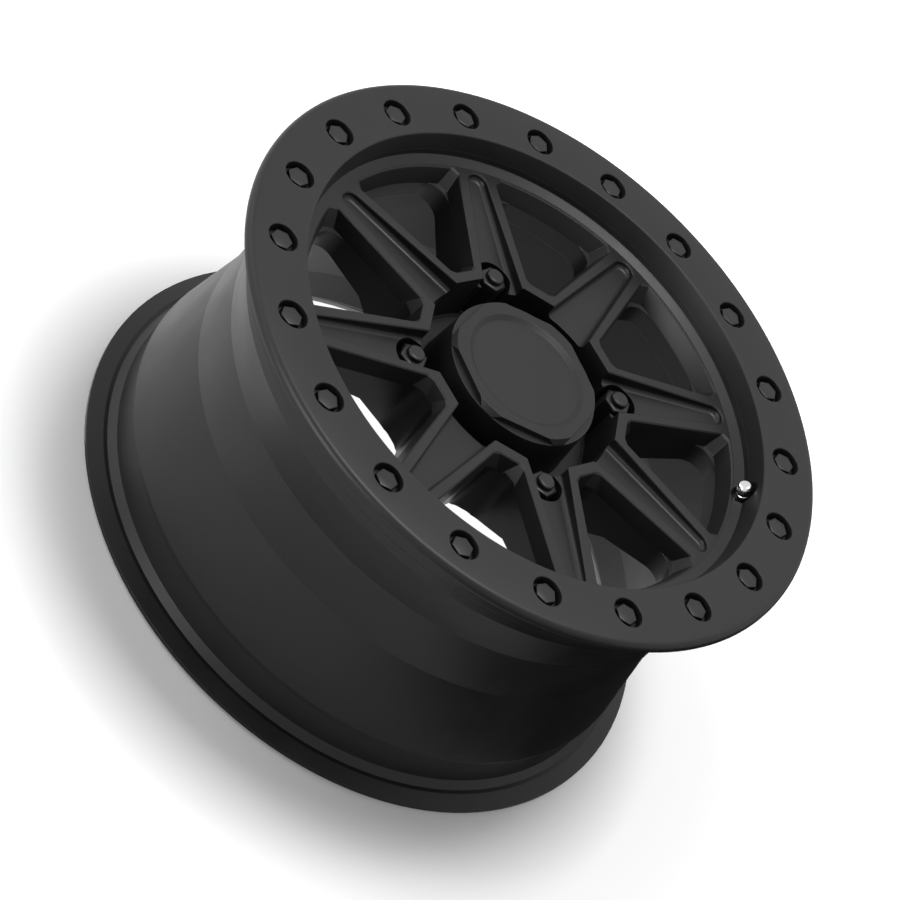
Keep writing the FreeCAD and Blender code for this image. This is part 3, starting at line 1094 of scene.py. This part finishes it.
@dataclass
class Studio:
    """The pale floor, the panel, the cards, the white surround, the soft boxes and the camera.

    The camera's eye and the panel's radius are in millimetres. Near the wheel the floor glows less, which
    paints shade around the wheel.
    """

    floor_size: float = 12.0
    floor_colour: str = "#fafafa"
    # Near the wheel the floor glows only this much, rising to far_glow between glow_start and glow_end:
    # painted shade around the wheel, on top of its real shadow.
    painted_shade_glow: float = 0.12
    far_glow: float = 0.8
    glow_start: float = 0.24
    glow_end: float = 0.6
    surround_light: float = 0.2
    focal_length: float = 134.19
    sensor: float = 36.0
    eye: tuple[float, float, float] = (1143.8, -1167.32, 1456.5)
    right: tuple[float, float, float] = (0.19, 0.8175, 0.5437)
    up: tuple[float, float, float] = (-0.8212, -0.1712, 0.5444)
    back: tuple[float, float, float] = (0.5381, -0.5499, 0.6388)
    clip_end: float = 100.0
    panel_radius: float = 188.0
    panel_steps: int = 96
    panel_light: float = 1.0
    # The black card paints a dark reflection on one side of the barrel, and the white card paints a bright
    # reflection on the other.
    cards: list[Card] = field(default_factory=lambda: [
        Card("painted_dark_reflection_card", 45.0, 0.205, 0.0),
        Card("painted_bright_reflection_card", -122.0, 0.19, 1.4),
    ])
    lamps: list[Lamp] = field(default_factory=lambda: [
        Lamp("soft_box_left", -140.0, 32.0, 2.6, 1.8, 1.8, 22.0),
        Lamp("soft_box_behind", 132.0, 79.0, 3.0, 0.9, 0.9, 70.0),
        Lamp("soft_box_front", -78.0, 18.0, 2.6, 1.2, 1.2, 55.0, True),
    ])

    def seen(self, tree: bpy.types.NodeTree) -> bpy.types.NodeSocket:
        """Tells rays that show the surround from rays that only carry its light.

        Args:
            tree: The tree to add the nodes to.

        Returns:
            One for camera, glossy and transmission rays, and otherwise zero.
        """
        ray = add_node(tree, "ShaderNodeLightPath", {}, {})
        mirrored = add_node(
            tree,
            "ShaderNodeMath",
            {"operation": "MAXIMUM"},
            {0: ray.outputs["Is Glossy Ray"], 1: ray.outputs["Is Transmission Ray"]},
        )
        either = add_node(
            tree,
            "ShaderNodeMath",
            {"operation": "MAXIMUM"},
            {0: ray.outputs["Is Camera Ray"], 1: mirrored.outputs["Value"]},
        )
        return either.outputs["Value"]

    def build_floor(self) -> bpy.types.Object:
        """Lays the floor under the wheel.

        Returns:
            The floor, marked as stage, with painted shade around the wheel where it glows less.
        """
        sheet = bmesh.new()
        bmesh.ops.create_grid(sheet, x_segments=2, y_segments=2, size=self.floor_size / 2)
        floor = new_piece("floor", sheet)
        material = bpy.data.materials.new("pale_floor_with_painted_shade")
        material.use_nodes = True
        tree = material.node_tree
        tree.nodes.clear()
        shade = add_node(tree, "ShaderNodeBsdfDiffuse", {}, {"Color": linear(self.floor_colour)})
        place = add_node(tree, "ShaderNodeTexCoord", {}, {}).outputs["Object"]
        away = add_node(tree, "ShaderNodeVectorMath", {"operation": "LENGTH"}, {0: place})
        # The glow is dimmer near the wheel than far off, which paints shade around the wheel.
        strength = add_node(
            tree,
            "ShaderNodeMapRange",
            {"interpolation_type": "SMOOTHSTEP"},
            {
                "Value": away.outputs["Value"],
                "From Min": self.glow_start,
                "From Max": self.glow_end,
                "To Min": self.painted_shade_glow,
                "To Max": self.far_glow,
            },
        )
        glow = add_node(tree, "ShaderNodeEmission", {}, {"Strength": strength.outputs["Result"]})
        paper = add_node(
            tree,
            "ShaderNodeAddShader",
            {},
            {0: shade.outputs["BSDF"], 1: glow.outputs["Emission"]},
        )
        mix = add_node(
            tree,
            "ShaderNodeMixShader",
            {},
            {0: self.seen(tree), 1: shade.outputs["BSDF"], 2: paper.outputs["Shader"]},
        )
        add_node(tree, "ShaderNodeOutputMaterial", {}, {"Surface": mix.outputs["Shader"]})
        floor.data.materials.append(material)
        floor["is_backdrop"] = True
        return floor

    def build_panel(self) -> bpy.types.Object:
        """Lays a white light panel on the floor inside the barrel, which shows through the windows.

        Returns:
            The panel, marked as stage.
        """
        disc = bmesh.new()
        bmesh.ops.create_circle(
            disc,
            cap_ends=True,
            segments=self.panel_steps,
            radius=self.panel_radius * MM,
            matrix=Matrix.Translation((0.0, 0.0, MM / 2)),
        )
        return stage_card("light_panel", disc, self.panel_light)

    def build_surround(self) -> None:
        """Makes the world white to the eye and in the gloss, and dim as a light."""
        world = bpy.data.worlds.new("white_surround")
        world.use_nodes = True
        tree = world.node_tree
        tree.nodes.clear()
        strength = add_node(
            tree,
            "ShaderNodeMapRange",
            {},
            {"Value": self.seen(tree), "To Min": self.surround_light, "To Max": 1.0},
        )
        glow = add_node(tree, "ShaderNodeBackground", {}, {"Strength": strength.outputs["Result"]})
        glow.inputs["Color"].default_value = (1.0, 1.0, 1.0, 1.0)
        add_node(tree, "ShaderNodeOutputWorld", {}, {"Surface": glow.outputs["Background"]})
        bpy.context.scene.world = world

    def build_camera(self) -> bpy.types.Object:
        """Sets the camera where the photograph was taken from.

        Returns:
            The camera.
        """
        data = bpy.data.cameras.new("camera")
        data.lens = self.focal_length
        data.sensor_width = self.sensor
        data.clip_end = self.clip_end
        camera = bpy.data.objects.new("camera", data)
        bpy.context.scene.collection.objects.link(camera)
        turn = Matrix((self.right, self.up, self.back)).transposed()
        camera.matrix_world = Matrix.Translation(Vector(self.eye) * MM) @ turn.to_4x4()
        bpy.context.scene.camera = camera
        return camera

    def build(self, target: Vector) -> None:
        """Builds the whole studio.

        Args:
            target: The wheel's middle, in metres.
        """
        self.build_floor()
        self.build_panel()
        self.build_surround()
        for card in self.cards:
            card.build()
        for lamp in self.lamps:
            lamp.build(target)
        self.build_camera()
        bpy.context.scene.view_settings.view_transform = "Standard"


def main() -> None:
    """Dresses the wheel and builds the studio around it."""
    logging.basicConfig(level=logging.INFO)
    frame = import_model()
    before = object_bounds()
    paint = Paintshop()
    for node, finish in NODE_FINISHES.items():
        paint.dress(frame["nodes"][node], finish)
        LOG.info("%s gets %s", node, finish.name)
    valve = Valve()
    made = [
        RimCasting().build(paint, frame["nodes"]["rim_casting"]),
        valve.build(paint),
        OuterRing().build(paint, valve),
        RingBolts().build(paint),
        LugNuts().build(paint),
    ]
    for piece in made:
        LOG.info("%s has %d faces", piece.name, len(piece.data.polygons))
    middle = (before[0] + before[1]) / 2
    Studio().build(middle)


if __name__ == "__main__":
    main()
